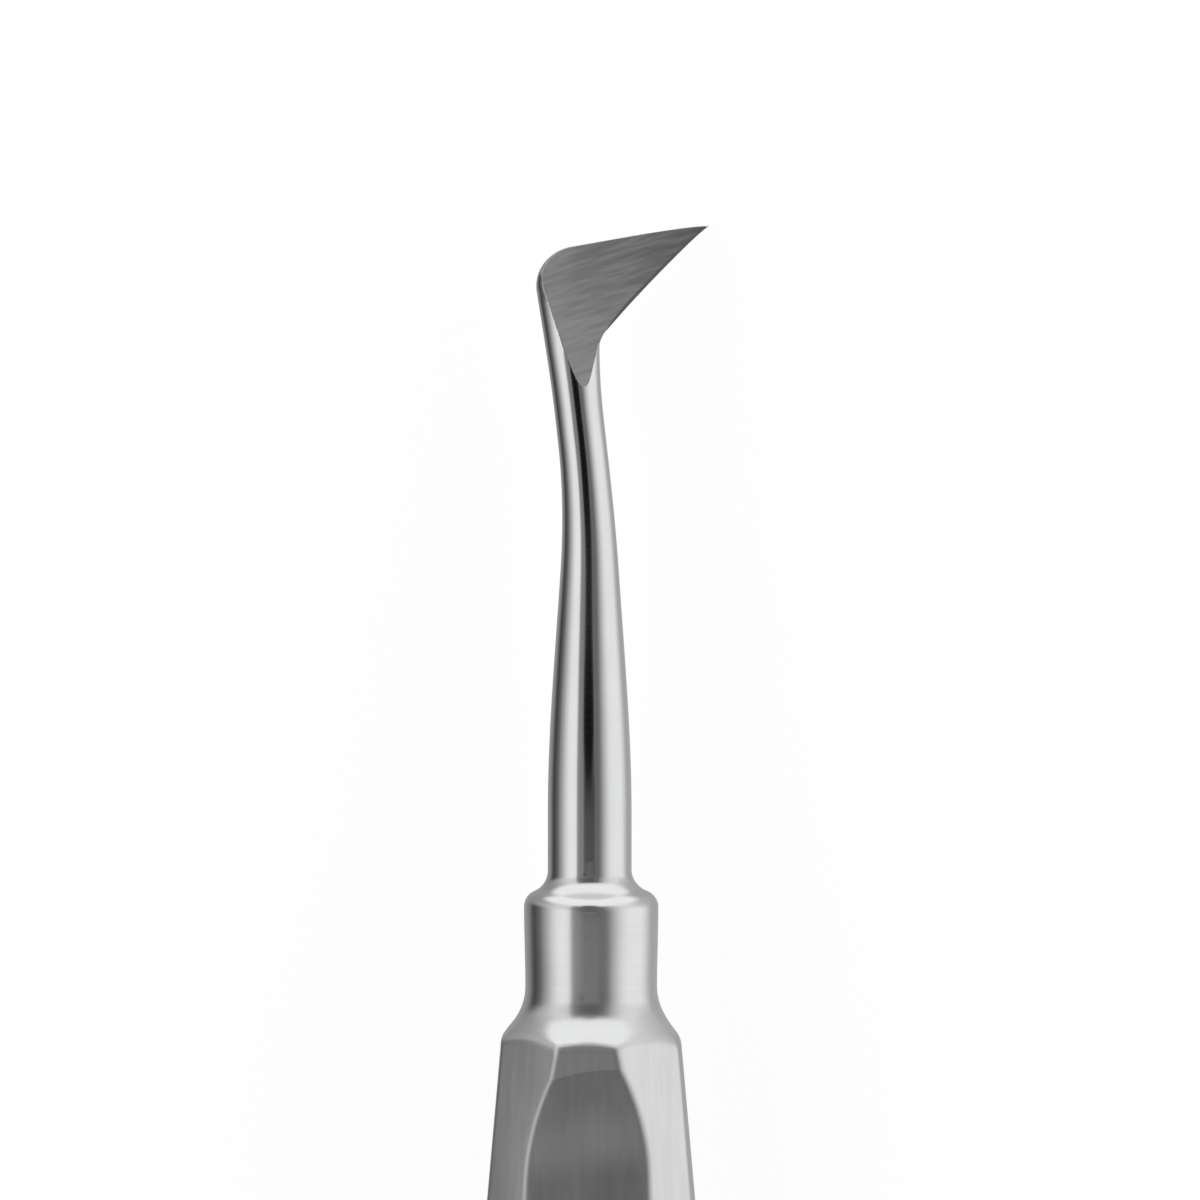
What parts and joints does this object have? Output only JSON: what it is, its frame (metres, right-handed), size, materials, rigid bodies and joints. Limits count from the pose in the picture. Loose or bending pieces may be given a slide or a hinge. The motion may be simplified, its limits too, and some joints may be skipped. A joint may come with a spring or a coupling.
{
  "type": "angled dental elevator",
  "caption": "Angled dental root elevator in one piece of stainless steel: flag blade with a ground face, slim bent shank, collared neck and eight-sided grip with hollowed thumb flats.",
  "frame": {"origin": "centre of the bounding box in plan, at the height of the back flat that the grip rests on", "axes": "+Y along the grip's axis towards the blade, +Z out of the front flat, +X to the side that the blade points to"},
  "size_m": [0.0168, 0.15, 0.013],
  "materials": {
    "stainless_steel": "polished shank and neck, satin ground flats"
  },
  "bodies": {
    "root": {"dental_elevator": "stainless_steel"}
  },
  "joints": []
}
